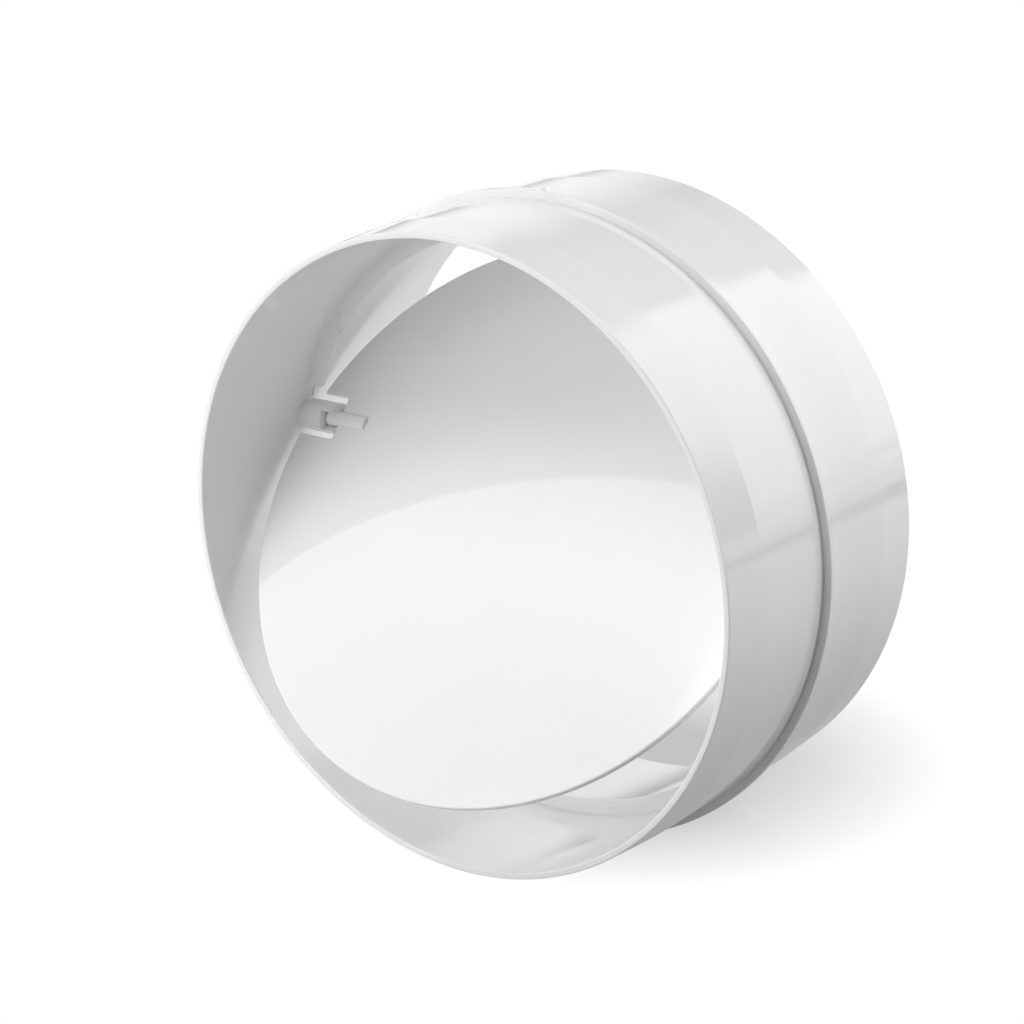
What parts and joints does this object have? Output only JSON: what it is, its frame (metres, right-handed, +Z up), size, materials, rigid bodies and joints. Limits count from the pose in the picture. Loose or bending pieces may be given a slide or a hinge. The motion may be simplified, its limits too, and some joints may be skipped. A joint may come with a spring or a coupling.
{
  "type": "duct backdraft damper",
  "caption": "Short round duct connector in glossy white plastic: tapered spigots either side of a stop bead, with a round flap hung inside that air opens and gravity shuts.",
  "frame": {"origin": "on the duct's axis, level with the stop bead's rear shoulder, where the inlet duct seats", "axes": "+X along the flap's hinge, +Y along the duct towards the inlet, +Z up with the hinge above the duct's axis"},
  "size_m": [0.1534, 0.0915, 0.1544],
  "materials": {
    "white_plastic": "glossy moulded white ABS"
  },
  "bodies": {
    "housing": {"housing": "white_plastic"},
    "flap": {"flap": "white_plastic"}
  },
  "joints": [
    {"name": "flap_hinge", "type": "hinge", "parent": "housing", "child": "flap", "pos_m": [0, -0.0018, 0.0138], "axis": [-1, 0, 0], "range_deg": [-39.5, 50.5]}
  ]
}
